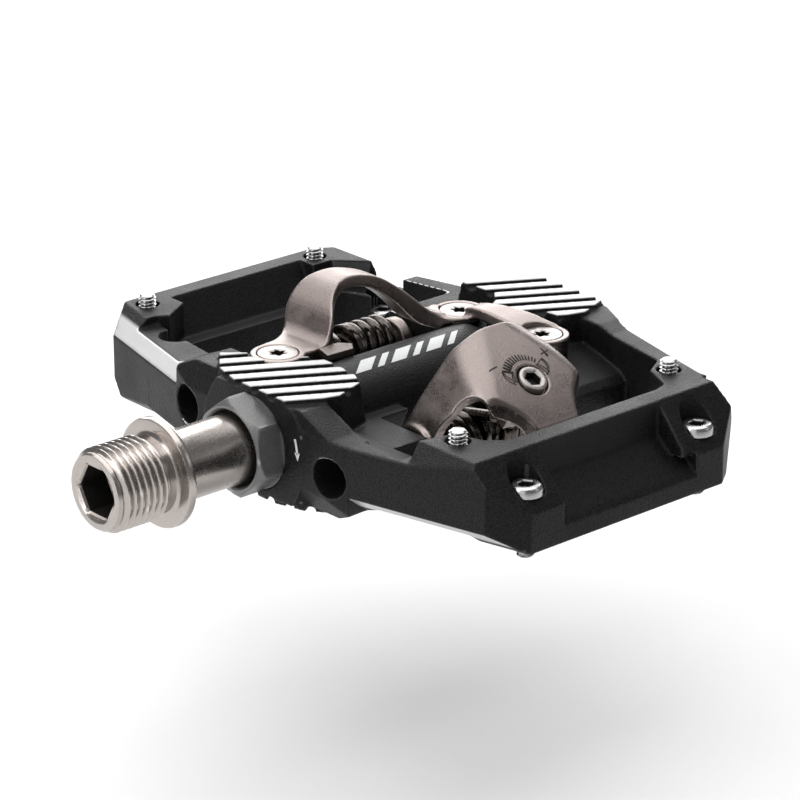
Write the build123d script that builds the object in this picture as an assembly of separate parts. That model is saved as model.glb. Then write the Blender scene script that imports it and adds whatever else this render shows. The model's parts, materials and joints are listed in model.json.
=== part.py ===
from build123d import *
import math
import os

# Clipless bicycle pedal with a trail cage, right-hand side.
# Frame: origin on the spindle axis at the flange face that seats on the crank arm,
# +X away from the crank, +Y towards the toe, +Z up.
# The pedal is two-sided: everything on the body repeats when it is turned over about X.

# ---- driving dimensions (mm) ----
# spindle and bearings
THREAD_R = 14.288 / 2
THREAD_START_X = -11.9
THREAD_RELIEF_X = -1.9
THREAD_RELIEF_R = 6.35
SEAT_R = 7.3
THREAD_END_CHAMFER = 0.6
FLANGE_R = 9.2
FLANGE_T = 1.6
FLANGE_CHAMFER = 0.3
SHAFT_R = 5.95
SHAFT_END_X = 26.5
RACE_R = 3.92
RACE_START_X = 29.0
WAIST_R = 4.3
STUD_R = 3.0
STUD_START_X = 55.5
SPINDLE_END_X = 65.0
HEX_KEY_FLATS = 8.0
HEX_KEY_DEPTH = 9.0
BALL_R = 1.19
BALL_PITCH_R = 5.15
BALL_COUNT = 11
INNER_BALL_X = 31.0
OUTER_BALL_X = 58.0
RUNNING_GAP = 0.04

# body bore and what fills it
BORE_R = 7.0
BORE_END_X = 66.5
BOLT_THREAD_R = 8.0
BOLT_END_X = 28.0
BOLT_FLATS = 14.9
BOLT_HEAD_X = 15.5
BOLT_SEAT_X = 20.4
BOLT_BORE_R = 6.5
BOLT_PHASE_DEG = -8.75
SOCKET_PHASE_DEG = 30.0
SEAL_X = 20.8
SEAL_T = 2.2
SEAL_GAP = 0.05
CUP_LENGTH = 5.0
CUP_RACE_R = BALL_PITCH_R + BALL_R + RUNNING_GAP / 2
SLEEVE_R = 6.2
CONE_LENGTH = 4.6
WASHER_T = 1.0
CONE_NUT_T = 2.8
CONE_NUT_FLATS = 9.0

# body
BODY_X = 20.5
TUBE_R = 8.5
TUBE_END_X = 80.0
BOSS_R = 12.8
BOSS_END_X = 27.5
PAD_Z = 9.5
PAD_DRAFT = 7.0
GROOVE_DEPTH = 0.9
GROOVE_FLOOR_Z = PAD_Z - GROOVE_DEPTH
RIDGE_PITCH = 3.75
RIDGE_W = 2.2
RIDGE_ANGLE = -30.0
CAGE_Y = 51.8
CAGE_BOTTOM_Z = -7.0
CAGE_UNDERCUT_Y = 48.2
RAIL_Z = 7.9
RAIL_OUT_Y = 45.0
RAIL_IN_Y = 41.0
RAIL_FLOOR_Z = -0.5
LIP_Z = -4.0
TRAY_TOP_Z = 2.0
BLOCK_FACE_Z = -0.2
BLOCK_FACE_RISE = 1.15
BLOCK_FLANK_X = 28.35
BLOCK_FLANK_RISE = 0.81
TRAY_X = (41.3, 71.0)
PILLAR_X = 68.6
PILLAR_Y = -50.7
ARM_Z = 5.2
ARM_BOTTOM_Z = -5.4
BEVEL_START_Z = -3.4
BEVEL_W = 2.6
SLOT_X = (38.8, 69.2)
PIVOT_Y = -18.2
PIVOT_Z = -1.0
PIVOT_R = 2.0
PIVOT_HOLE_R = 3.4
PIVOT_HOLE_END_X = 27.0
PIVOT_END_X = 77.0
WEB_Z = 2.5
WEB_BOTTOM_Z = -5.0

# claw
CLAW_T = 2.4
CLAW_SEAT_Z = 6.6
CLAW_SCREWS = [(34.7, 10.7), (71.5, 6.0), (74.0, -12.0)]
CLAW_EAR_R = 4.7
CLAW_SCREW_HEAD_R = 3.5
CLAW_SCREW_HEAD_T = 1.5
CLAW_SCREW_R = 2.0
CLAW_SCREW_DEPTH = 5.5
CLAW_TOP_Z = 17.3
SADDLE_PLAN = [
    (69.4, 6.0), (73.4, 7.0), (73.4, 2.0), (77.5, -6.0), (78.4, -12.0), (72.6, -14.0), (70.4, -2.0),
]

# binding
BINDING_X = 54.0
BINDING_T = 2.4
WING_X = 14.5
WING_CORNERS = [(6.5, -22.5, 17.0), (11.1, -30.3, 12.0), (14.0, -22.6, 3.5), (14.5, -16.6, 5.5)]
JAW_OUTLINE = [
    (6.3, -21.0), (6.3, -22.5), (11.4, -30.3), (10.7, -31.0), (8.9, -32.0), (6.8, -33.6),
    (5.5, -35.2), (4.9, -36.5), (4.7, -39.0),
]
TONGUE_BEND = (-32.4, 10.7)
TONGUE_SLOPE = 47.0
TONGUE_Y = -37.3
TONGUE_Z = 3.4
EYE_R = 4.0
PIVOT_GAP = 0.08
SCREW_Y = -31.0
SCREW_Z = 11.6
PLATE_SLOPE = 32.0
TENSION_HEAD_R = 2.75
TENSION_HEAD_T = 1.75
TENSION_SCREW_R = 1.5
TENSION_SCREW_LENGTH = 9.6
TENSION_GAP = 0.08
NUT_SIZE = (9.0, 5.0, 3.0)
NUT_DEPTH = 7.0

# springs
SPRING_R = 4.8
SPRING_WIRE = 1.9
SPRING_COILS = 4
SPRING_PITCH = 2.3
SPRING_OFFSET_Z = -0.6
SPRING_INNER_X = 1.6

# traction pins
PIN_R = 1.55
PIN_HOLE_R = 2.05
PIN_PROUD = 1.9
PIN_HEAD_R = 2.75
PIN_HEAD_H = 2.0
PIN_POCKET_R = 3.0
PIN_KEY_FLATS = 2.5
REAR_INNER_PINS = [(32.9, -36.0), (80.1, -36.1)]
REAR_OUTER_PINS = [(36.2, -48.2), (74.5, -48.2)]
INNER_HEAD_Z = 1.2
OUTER_HEAD_Z = 3.5

CRANK_ARM_PLAN = [
    (20.6, 0), (20.6, -17.2), (21.8, -22), (28.0, -47.5), (33.9, -51.8), (41.3, -51.8),
    (41.3, -44.5), (34.6, -44.5), (33.4, -38), (31.4, -22), (31.0, 0),
]
CRANK_BLOCK_PLAN = [
    (24.5, -33.2), (28.3, -31.8), (33.3, -33.0), (35.2, -35.6), (36.2, -38.5), (39.1, -41.0),
    (41.3, -41.0), (41.3, -51.8), (33.9, -51.8), (28.0, -47.5),
]
CRANK_FOOT_PLAN = [
    (26.9, -42.4), (28.0, -47.5), (33.9, -51.8), (41.3, -51.8), (41.3, -44.5), (35.5, -41.0), (33.2, -42.4),
]
OUTBOARD_ARM_PLAN = [
    (71.0, -51.8), (77.2, -51.8), (83.5, -47.5), (82.9, -40.5), (84.5, -33.6), (88.9, -16.0),
    (92.4, -9.0), (92.4, 0), (86.0, 0), (84.8, -15.7), (81.7, -31.8), (77.5, -34.3),
    (74.9, -40.1), (72.1, -41.0), (71.0, -41.0),
]
OUTBOARD_CORNER_PLAN = [
    (71.0, -51.8), (77.2, -51.8), (83.5, -47.5), (83.9, -42.6), (81.0, -38.5), (78.0, -41.5),
    (75.0, -44.5), (71.0, -44.5),
]
CRANK_PAD = [
    (26.6, 16.2), (22.2, 10.8), (20.6, 5.0), (20.5, -8.1), (21.2, -9.7), (29.0, -12.0),
    (35.2, -9.8), (36.9, -6.5), (37.5, -1.2), (37.5, 3.4), (30.8, 12.5),
]
OUTBOARD_PAD = [
    (80.3, 15.2), (91.7, 10.7), (93.0, 7.4), (92.6, -7.8), (86.1, -10.2), (81.3, -8.8),
    (80.8, -4.6), (73.1, 1.3), (78.3, 4.3), (80.9, 7.4),
]


# ---- helpers ----
def prism_z(points, low, high):
    """A prism with a plan outline, between two heights."""
    return Pos(0, 0, low) * extrude(Polygon(*points, align=None), amount=high - low, dir=(0, 0, 1))


def prism_x(points, low, high):
    """A prism with a (y, z) outline, between two x positions."""
    outline = Plane.YZ * Polygon(*points, align=None)
    return Pos(low, 0, 0) * extrude(outline, amount=high - low, dir=(1, 0, 0))


def prism_y(points, low, high):
    """A prism with an (x, z) outline, between two y positions."""
    outline = Plane.XZ * Polygon(*points, align=None)
    return Pos(0, low, 0) * extrude(outline, amount=high - low, dir=(0, 1, 0))


def rod_x(radius, low, high, y=0.0, z=0.0):
    """A round rod along X."""
    base = (Align.CENTER, Align.CENTER, Align.MIN)
    return Pos(low, y, z) * Rot(0, 90, 0) * Cylinder(radius, high - low, align=base)


def rod_z(radius, low, high, x, y):
    """A round rod along Z."""
    base = (Align.CENTER, Align.CENTER, Align.MIN)
    return Pos(x, y, low) * Cylinder(radius, high - low, align=base)


def hex_x(flats, low, high, phase=0.0):
    """A hexagonal bar along X."""
    outline = Rot(0, 0, phase) * RegularPolygon(flats / 2, 6, major_radius=False)
    return Pos(low, 0, 0) * extrude(Plane.YZ * outline, amount=high - low)


def turned_x(profile):
    """A solid of revolution about X from (x, r) points, closed along the axis."""
    points = [(profile[0][0], 0)] + profile + [(profile[-1][0], 0)]
    return revolve(Polygon(*points, align=None), Axis.X)


def ring_x(outer, inner, low, high):
    """A plain ring about the X axis."""
    return rod_x(outer, low, high) - rod_x(inner, low - 1, high + 1)


def turned_over(shape):
    """The same piece on the pedal's other side."""
    return Rot(180, 0, 0) * shape


def group(solids):
    """Separate solids in one node."""
    return Compound(children=[s for shape in solids for s in shape.solids()])


# ---- spindle and bearings ----
def spindle():
    profile = [
        (THREAD_START_X, THREAD_R - THREAD_END_CHAMFER),
        (THREAD_START_X + THREAD_END_CHAMFER, THREAD_R),
        (THREAD_RELIEF_X, THREAD_R),
        (THREAD_RELIEF_X + 0.4, THREAD_RELIEF_R),
        (-SEAT_R + THREAD_RELIEF_R, THREAD_RELIEF_R),
        (0, SEAT_R),
        (0, FLANGE_R - FLANGE_CHAMFER),
        (FLANGE_CHAMFER, FLANGE_R),
        (FLANGE_T - FLANGE_CHAMFER, FLANGE_R),
        (FLANGE_T, FLANGE_R - FLANGE_CHAMFER),
        (FLANGE_T, SHAFT_R + 0.9),
        (FLANGE_T + 0.9, SHAFT_R),
        (SHAFT_END_X, SHAFT_R),
        (RACE_START_X, RACE_R),
        (RACE_START_X + 5, RACE_R),
        (RACE_START_X + 7, WAIST_R),
        (STUD_START_X - 2, WAIST_R),
        (STUD_START_X, STUD_R),
        (SPINDLE_END_X - 0.5, STUD_R),
        (SPINDLE_END_X, STUD_R - 0.5),
    ]
    socket = hex_x(HEX_KEY_FLATS, THREAD_START_X - 1, THREAD_START_X + HEX_KEY_DEPTH, SOCKET_PHASE_DEG)
    mouth_r = HEX_KEY_FLATS / 2 / math.cos(math.radians(30)) + 0.3
    mouth = revolve(Polygon((THREAD_START_X - 1, 0), (THREAD_START_X - 1, mouth_r + 1),
                            (THREAD_START_X + mouth_r, 0), align=None), Axis.X)
    return turned_x(profile) - socket - mouth


def ball_set(x):
    """One row of bearing balls round the spindle."""
    balls = [Rot(360 * i / BALL_COUNT, 0, 0) * Pos(x, BALL_PITCH_R, 0) * Sphere(BALL_R)
             for i in range(BALL_COUNT)]
    return group(balls)


def bearing_cup(x):
    """A hardened cup whose curved race holds the balls from outside."""
    cup = ring_x(BORE_R, SLEEVE_R, x - CUP_LENGTH / 2, x + CUP_LENGTH / 2)
    return cup - ring_x(CUP_RACE_R + 0.01, 1.0, x - BALL_R, x + BALL_R)


def outer_cone():
    low = OUTER_BALL_X - CONE_LENGTH / 2
    cone = turned_x([(low, RACE_R), (low + CONE_LENGTH - 1, RACE_R), (low + CONE_LENGTH, RACE_R + 0.6)])
    return cone - rod_x(STUD_R + 0.01, low - 1, low + CONE_LENGTH + 1)


def cone_washer():
    low = OUTER_BALL_X + CONE_LENGTH / 2
    return ring_x(4.8, STUD_R + 0.01, low, low + WASHER_T)


def cone_lock_nut():
    low = OUTER_BALL_X + CONE_LENGTH / 2 + WASHER_T
    return hex_x(CONE_NUT_FLATS, low, low + CONE_NUT_T) - rod_x(STUD_R + 0.01, low - 1, low + 9)


def lock_bolt():
    """The hexagonal bolt that holds the spindle unit in the body."""
    head = hex_x(BOLT_FLATS, BOLT_HEAD_X, BOLT_SEAT_X, BOLT_PHASE_DEG)
    corner_r = BOLT_FLATS / 2 / math.cos(math.radians(30))
    crown = turned_x([(BOLT_HEAD_X, corner_r - 1.0), (BOLT_HEAD_X + 0.8, corner_r + 0.2),
                      (BOLT_SEAT_X, corner_r + 0.2)])
    bolt = (head & crown) + rod_x(BOLT_THREAD_R, BOLT_SEAT_X, BOLT_END_X)
    mouth = revolve(Polygon((BOLT_HEAD_X, 0), (BOLT_HEAD_X, BOLT_BORE_R + 0.5),
                            (BOLT_HEAD_X + 0.5, BOLT_BORE_R), (BOLT_HEAD_X + 0.5, 0), align=None), Axis.X)
    return bolt - rod_x(BOLT_BORE_R, BOLT_HEAD_X - 1, BOLT_END_X + 1) - mouth


def axle_seal():
    return ring_x(BOLT_BORE_R, SHAFT_R + SEAL_GAP, SEAL_X - SEAL_T, SEAL_X)


def axle_sleeve():
    low = INNER_BALL_X + CUP_LENGTH / 2
    return ring_x(BORE_R, SLEEVE_R, low, OUTER_BALL_X - CUP_LENGTH / 2)


# ---- body ----
def rear_cage():
    """The cage bar behind the axle: outer lip, sloping tray and the rail above it."""
    return prism_x([
        (-CAGE_Y, CAGE_BOTTOM_Z), (-CAGE_Y, LIP_Z), (-CAGE_Y + 0.8, LIP_Z + 0.9),
        (-RAIL_OUT_Y, TRAY_TOP_Z), (-RAIL_OUT_Y, RAIL_Z), (-RAIL_IN_Y, RAIL_Z),
        (-RAIL_IN_Y, RAIL_FLOOR_Z), (-44.0, RAIL_FLOOR_Z), (-CAGE_UNDERCUT_Y, CAGE_BOTTOM_Z),
    ], TRAY_X[0] - 1, TRAY_X[1] + 1)


def block_face_cut():
    """What is cut from the corner blocks to leave their slanted outer faces."""
    depth = CAGE_Y - RAIL_OUT_Y + 6
    top = BLOCK_FACE_Z + BLOCK_FACE_RISE * depth
    wedge = [(-CAGE_Y - 1, BLOCK_FACE_Z - BLOCK_FACE_RISE), (-CAGE_Y + depth, top), (-CAGE_Y - 1, top)]
    return prism_x(wedge, 15, 95)


def crank_corner():
    """The block at the crank-side corner, its flank sloping down to the arm."""
    block = prism_z(CRANK_BLOCK_PLAN, RAIL_FLOOR_Z, RAIL_Z)
    block += prism_z(CRANK_FOOT_PLAN, CAGE_BOTTOM_Z, RAIL_FLOOR_Z)
    low = (BLOCK_FLANK_X - 10, RAIL_Z - 10 * BLOCK_FLANK_RISE)
    flank = [low, (BLOCK_FLANK_X, RAIL_Z), (BLOCK_FLANK_X, RAIL_Z + 1), (low[0], RAIL_Z + 1)]
    return block - prism_y(flank, -60, -25)


def arm_bevel():
    """The slanted facet cut along the lower edge of the crank-side arm."""
    start, end = Vector(*CRANK_ARM_PLAN[2]), Vector(*CRANK_ARM_PLAN[3])
    side = end - start
    across = Vector(-side.Y, side.X, 0)
    plane = Plane(origin=start, x_dir=across, z_dir=side)
    slope = (ARM_BOTTOM_Z - BEVEL_START_Z) / BEVEL_W
    facet = plane * Polygon((-2, BEVEL_START_Z - 2 * slope), (BEVEL_W + 4, ARM_BOTTOM_Z + 4 * slope),
                            (-2, ARM_BOTTOM_Z + 4 * slope), align=None)
    return extrude(facet, amount=side.length + 6, dir=side.normalized())


def crank_arm():
    """The flat side arm on the crank side, rising to the pads at the hub."""
    arm = prism_z(CRANK_ARM_PLAN, ARM_BOTTOM_Z, ARM_Z)
    inner_drop = prism_y([(25.0, ARM_Z), (31.8, WEB_Z), (50, WEB_Z), (50, ARM_Z + 1), (25.0, ARM_Z + 1)],
                         -31, 5)
    upper_ramp = prism_x([(-8, 0), (-8, PAD_Z), (-10.7, 9.1), (-15.9, 6.9), (-18.8, 5.6), (-22, ARM_Z),
                          (-22, 0)], 20.9, 26.5)
    lower_ramp = prism_x([(-8, 0), (-8, -PAD_Z), (-16.8, -9.3), (-21.5, -7.1), (-25.7, ARM_BOTTOM_Z),
                          (-25.7, 0)], 20.9, 31)
    plan = prism_z(CRANK_ARM_PLAN, -GROOVE_FLOOR_Z, GROOVE_FLOOR_Z)
    flank = prism_y([(17, 1.3), (23.8, -9.7), (17, -9.7)], -24, -9.5)
    return arm - inner_drop + (upper_ramp & plan) + (lower_ramp & plan) - flank


def outboard_arm():
    """The slim outer arm, its foot under the hub end and the outboard corner block."""
    arm = prism_z(OUTBOARD_ARM_PLAN, -2.2, RAIL_Z)
    arm += prism_z(OUTBOARD_ARM_PLAN, -5.0, 0) & Pos(84, -20, 0) * Box(30, 24, 30)
    arm += prism_z(OUTBOARD_CORNER_PLAN, CAGE_BOTTOM_Z, 2.0)
    inside = TRAY_X[1] + 1
    pillar = [(PILLAR_X, PILLAR_Y), (inside, PILLAR_Y), (inside, -RAIL_IN_Y), (PILLAR_X, -RAIL_IN_Y)]
    arm += prism_z(pillar, RAIL_FLOOR_Z, RAIL_Z)
    root = prism_x([(-5, 0), (-5, 9.4), (-12.5, 9.0), (-18.3, RAIL_Z), (-18.3, 0)], 84, 93)
    arm += root & prism_z(OUTBOARD_ARM_PLAN, 0, GROOVE_FLOOR_Z)
    upper = prism_y([(81.3, RAIL_Z + 2), (81.8, RAIL_Z), (83.6, 1.8), (90, 1.8), (90, RAIL_Z + 2)],
                    -60, -42)
    lower = prism_y([(83.9, 1.5), (80.4, CAGE_BOTTOM_Z), (80.4, -10), (90, -10), (90, 1.5)],
                    -60, -38)
    return arm - upper - lower


def pivot_webs():
    """The two webs between hub and cage that hold the binding's hinge pin."""
    inner = prism_x([(0, WEB_Z), (-22.0, WEB_Z), (-23.0, 1.0), (-23.0, -4.0), (-21.5, WEB_BOTTOM_Z),
                     (0, WEB_BOTTOM_Z)], 22.2, SLOT_X[0])
    shelf = prism_x([(0, WEB_Z), (-10.6, WEB_Z), (-9.0, -1.0), (0, -1.0)], SLOT_X[0] - 1, 45.2)
    outer = prism_x([(0, 5.0), (-10, 4.2), (-21.5, 2.2), (-23.0, 1.0), (-23.0, -4.0),
                     (-21.5, WEB_BOTTOM_Z), (0, WEB_BOTTOM_Z)], SLOT_X[1], 87.0)
    return inner + shelf + outer


def claw_seats():
    """Posts under the three claw screws."""
    seats = [rod_z(CLAW_EAR_R - 0.3, 0, CLAW_SEAT_Z, x, y) for x, y in CLAW_SCREWS[:2]]
    x, y = CLAW_SCREWS[2]
    seats.append(rod_z(CLAW_EAR_R - 0.3, WEB_BOTTOM_Z, CLAW_SEAT_Z, x, y))
    return seats


def pad(outline):
    """A drafted foot pad with slanting ridges milled into its top."""
    top = Pos(0, 0, PAD_Z) * Polygon(*outline, align=None)
    block = extrude(top, amount=PAD_Z, dir=(0, 0, -1), taper=-PAD_DRAFT)
    block &= Pos(BODY_X, 0, 0) * Box(200, 200, 60, align=(Align.MIN, Align.CENTER, Align.CENTER))
    direction = math.radians(RIDGE_ANGLE)
    normal = (-math.sin(direction), math.cos(direction))
    for i in range(-12, 20):
        offset = (i + 0.5) * RIDGE_PITCH
        center = (BINDING_X + normal[0] * offset, normal[1] * offset)
        groove = Rot(0, 0, RIDGE_ANGLE) * Box(130, RIDGE_PITCH - RIDGE_W, GROOVE_DEPTH * 2)
        block -= Pos(center[0], center[1], PAD_Z) * groove
    return block


def pin_holes(places, head_z, low, high, from_above):
    """Through holes for traction pins, with a pocket for each head."""
    holes = []
    for x, y in places:
        holes.append(rod_z(PIN_HOLE_R, low, high, x, y))
        floor = head_z - PIN_HEAD_H if from_above else head_z - 20
        roof = head_z + 20 if from_above else head_z + PIN_HEAD_H
        holes.append(rod_z(PIN_POCKET_R, floor, roof, x, y))
    return holes


def claw_clearance():
    """The low area of the pads that the claw plate lies in."""
    low = CLAW_SEAT_Z
    areas = [prism_z([(33.5, 17.0), (39, 17.6), (46, 21), (46, 6.4), (37.9, 6.0)], low, 12),
             prism_z(grown_saddle(), low, 12)]
    for x, y in CLAW_SCREWS:
        areas.append(rod_z(CLAW_EAR_R + 0.4, low, 12, x, y))
    return areas


def grown_saddle():
    return [(SADDLE_PLAN[0][0] - 1, SADDLE_PLAN[0][1])] + [(x + 0.4, y) for x, y in SADDLE_PLAN[1:4]] + \
        [(x - 1, y - 0.5) for x, y in SADDLE_PLAN[4:]]


def pedal_body():
    """The one-piece body: hub, pads, arms and cage, the same on both sides."""
    half = rear_cage() + crank_arm() + crank_corner() + outboard_arm() + pivot_webs()
    half += pad(CRANK_PAD)
    half += pad(OUTBOARD_PAD)
    for seat in claw_seats():
        half += seat
    half -= block_face_cut() - prism_x([(-60, -20), (-60, 20), (0, 20), (0, -20)], TRAY_X[0], PILLAR_X)
    half -= arm_bevel()
    half -= prism_x([(-RAIL_IN_Y, 30), (-RAIL_IN_Y, -30), (-11.0, -30), (-11.0, 30)], *SLOT_X)
    body = half + turned_over(half)
    body += rod_x(TUBE_R, BODY_X, TUBE_END_X)
    boss = rod_x(BOSS_R, BODY_X, BOSS_END_X)
    body += boss & Box(200, 200, 2 * GROOVE_FLOOR_Z)
    cuts = [rod_x(BORE_R, BODY_X - 1, BORE_END_X), rod_x(BOLT_THREAD_R, BODY_X - 1, BOLT_END_X)]
    sided = [rod_x(PIVOT_HOLE_R, 18, PIVOT_HOLE_END_X, PIVOT_Y, PIVOT_Z),
             rod_x(PIVOT_R, 20, PIVOT_END_X, PIVOT_Y, PIVOT_Z)]
    sided += pin_holes(REAR_INNER_PINS, INNER_HEAD_Z, -12, 12, False)
    sided += pin_holes(REAR_OUTER_PINS, OUTER_HEAD_Z, -12, 12, True)
    sided += claw_clearance()
    for x, y in CLAW_SCREWS:
        sided.append(rod_z(CLAW_SCREW_R, CLAW_SEAT_Z - CLAW_SCREW_DEPTH, CLAW_SEAT_Z + 1, x, y))
    for cut in cuts + sided + [turned_over(s) for s in sided]:
        body -= cut
    return body


# ---- claw ----
def claw():
    """The fixed front claw: one bent plate with an arch and three screwed ears."""
    top = CLAW_SEAT_Z + CLAW_T
    arch = prism_y([
        (41.5, CLAW_SEAT_Z), (43.0, top), (45.6, 13.6), (49.2, 16.4), (54.0, CLAW_TOP_Z), (58.8, 16.4),
        (62.8, 13.2), (66.4, top), (71.5, top), (71.5, CLAW_SEAT_Z), (64.6, CLAW_SEAT_Z), (61.0, 11.6),
        (57.6, 14.4), (54.0, 15.1), (50.4, 14.4), (47.4, 12.2), (45.0, 8.0), (44.4, CLAW_SEAT_Z),
    ], 7.0, 21.5)
    arch &= prism_z([(40.5, 8.0), (42.3, 18.0), (44.5, 20.8), (47.7, 21.2), (52.5, 20.4), (57.0, 18.6),
                     (62.5, 14.8), (70.5, 9.0), (68.0, 5.0), (61.5, 10.8), (56.5, 13.6), (52.0, 14.2),
                     (48.0, 12.0), (44.6, 8.0)], 0, 20)
    ears = prism_z([(34.7, 15.2), (39.0, 16.0), (44.0, 19.6), (44.4, 8.0), (38.0, 7.2)],
                   CLAW_SEAT_Z, top)
    for x, y in CLAW_SCREWS:
        ears += rod_z(CLAW_EAR_R, CLAW_SEAT_Z, top, x, y)
    saddle = prism_x([(-11, CLAW_SEAT_Z), (-11, top), (-7, 10.2), (0, 11.2), (4, 10.4), (8, top),
                      (8, CLAW_SEAT_Z), (6.4, 7.1), (3.4, 8.6), (0, 9.1), (-4.2, 8.2), (-8.4, CLAW_SEAT_Z)],
                     68.0, 79.0)
    saddle &= prism_z(SADDLE_PLAN, 0, 20)
    plate = arch + ears + saddle
    plate -= rod_x(TUBE_R + 0.3, 60, 90)
    for x, y in CLAW_SCREWS:
        plate -= rod_z(CLAW_SCREW_R + 0.1, 0, 20, x, y)
        plate -= rod_z(CLAW_SCREW_HEAD_R + 0.1, top - CLAW_SCREW_HEAD_T, 20, x, y)
    return plate


def claw_screws():
    """Three flat-headed screws with star sockets."""
    screws = []
    top = CLAW_SEAT_Z + CLAW_T
    for x, y in CLAW_SCREWS:
        head = rod_z(CLAW_SCREW_HEAD_R, top - CLAW_SCREW_HEAD_T, top, x, y)
        shank = rod_z(CLAW_SCREW_R, CLAW_SEAT_Z - CLAW_SCREW_DEPTH + 0.5, top - 1, x, y)
        socket = rod_z(1.2, top - 1.1, top + 1, x, y)
        for i in range(6):
            angle = math.radians(60 * i)
            socket += rod_z(0.35, top - 1.1, top + 1, x + 1.2 * math.cos(angle), y + 1.2 * math.sin(angle))
        screws.append(head + shank - socket)
    return group(screws)


def spring_shoe():
    """The small bent plate beside the claw that keeps the springs in place."""
    plate = prism_z([(39.6, 3.6), (45.0, 3.4), (46.4, 5.2), (44.8, 7.2), (40.6, 7.0)], 8.0, 9.2)
    return plate + rod_z(0.9, 7.0, 8.4, 42.8, 5.9)


# ---- binding ----
def plate_plane(depth=0.0):
    """A plane on the binding's outer plate at the tension screw; its normal points out."""
    slope = math.radians(PLATE_SLOPE)
    normal = (0, -math.sin(slope), math.cos(slope))
    origin = (BINDING_X, SCREW_Y - depth * normal[1], SCREW_Z - depth * normal[2])
    return Plane(origin=origin, x_dir=(1, 0, 0), z_dir=normal)


def under(point, normal):
    """Everything on the inner side of a plane."""
    return Plane(origin=point, z_dir=normal) * (Pos(0, 0, -100) * Box(200, 200, 200))


def jaw_hull(inset):
    """The jaw's outer form as flat facets, each moved in by the inset."""
    slope, bend = math.radians(PLATE_SLOPE), math.radians(TONGUE_SLOPE)
    facets = [((0, SCREW_Y, SCREW_Z), (0, -math.sin(slope), math.cos(slope))),
              ((0, *TONGUE_BEND), (0, -math.sin(bend), math.cos(bend))),
              ((0, TONGUE_Y, 0), (0, -1, 0))]
    for side in (1, -1):
        front, tip, heel, toe = [Vector(side * x, y, z) for x, y, z in WING_CORNERS]
        for a, b, c in ((front, tip, toe), (tip, heel, toe)):
            facets.append((a, (b - a).cross(c - a) * side))
        facets.append(((side * WING_X, 0, 0), (side, 0, 0)))
    hull = Box(100, 100, 100)
    for point, normal in facets:
        normal = Vector(*normal).normalized() if isinstance(normal, tuple) else normal.normalized()
        hull &= under(Vector(point) - normal * inset, normal)
    return hull


def binding():
    """The sprung rear jaw: a bent plate with a tongue, an arch and two hinged wings."""
    shell = jaw_hull(0) - jaw_hull(BINDING_T)
    wings = shell & prism_x([
        (-21.6, 22), (-21.6, 17.1), (-20.5, 16.2), (-19.3, 15.0), (-19.0, 13.9), (-18.3, 10.9),
        (-16.6, 5.5), (-14.4, 0.4), (-14.4, -1.6), (-21.9, -1.6), (-22.5, 3.5), (-30.3, 11.8), (-30.3, 22),
    ], -20, 20)
    outline = JAW_OUTLINE + [(-x, y) for x, y in reversed(JAW_OUTLINE)]
    tongue = shell & prism_z(outline, TONGUE_Z, 22)
    jaw = wings + tongue
    for side in (1, -1):
        eye = rod_x(EYE_R, WING_X - BINDING_T, WING_X, PIVOT_Y, PIVOT_Z)
        jaw += eye if side > 0 else mirror(eye, Plane.YZ)
    jaw = Pos(BINDING_X, 0, 0) * jaw
    plane = plate_plane()
    jaw -= extrude(plane * Circle(TENSION_HEAD_R + TENSION_GAP), amount=5)
    jaw -= extrude(plane * Circle(TENSION_HEAD_R + TENSION_GAP), amount=-TENSION_HEAD_T - 0.05)
    jaw -= extrude(plane * Circle(TENSION_SCREW_R + TENSION_GAP), amount=-6)
    jaw -= rod_x(PIVOT_R + PIVOT_GAP, 30, 80, PIVOT_Y, PIVOT_Z)
    return jaw


def tension_screw():
    plane = plate_plane(TENSION_HEAD_T)
    head = extrude(plane * Circle(TENSION_HEAD_R), amount=TENSION_HEAD_T)
    shank = extrude(plane * Circle(TENSION_SCREW_R), amount=-TENSION_SCREW_LENGTH)
    key = extrude(plate_plane(1.4) * RegularPolygon(1.5, 6, major_radius=False), amount=3)
    return head + shank - key


def tension_nut():
    """The square nut plate on the tension screw that the spring legs press on."""
    plane = plate_plane(NUT_DEPTH)
    block = extrude(plane * Rectangle(NUT_SIZE[0], NUT_SIZE[1]), amount=NUT_SIZE[2] / 2, both=True)
    return block - extrude(plane * Circle(TENSION_SCREW_R + TENSION_GAP), amount=5, both=True)


def binding_pin():
    return rod_x(PIVOT_R, PIVOT_HOLE_END_X, PIVOT_END_X, PIVOT_Y, PIVOT_Z)


def spring(side):
    """One torsion spring: close coils round the hinge pin and a leg up to the nut plate."""
    z = PIVOT_Z + SPRING_OFFSET_Z
    low = SPRING_INNER_X
    core_r = SPRING_R - SPRING_WIRE / 2
    length = SPRING_COILS * SPRING_PITCH
    coil = rod_x(core_r + 0.35, low, low + length, PIVOT_Y, z)
    for i in range(SPRING_COILS):
        mid = low + (i + 0.5) * SPRING_PITCH
        coil += rod_x(SPRING_R, mid - SPRING_WIRE / 2, mid + SPRING_WIRE / 2, PIVOT_Y, z)
    coil -= rod_x(SPRING_R - SPRING_WIRE, low - 1, low + length + 1, PIVOT_Y, z)
    start = Vector(low + SPRING_WIRE / 2, PIVOT_Y - 2.6, z + 2.6)
    end = Vector(low + SPRING_WIRE / 2, PIVOT_Y - 6.6, z + 5.4)
    leg = Plane(origin=start, z_dir=end - start) * Cylinder(
        SPRING_WIRE / 2, (end - start).length, align=(Align.CENTER, Align.CENTER, Align.MIN))
    shape = coil + (leg - rod_x(core_r, -60, 60, PIVOT_Y, z))
    if side < 0:
        shape = mirror(shape, Plane.YZ)
    return Pos(BINDING_X, 0, 0) * shape


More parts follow.
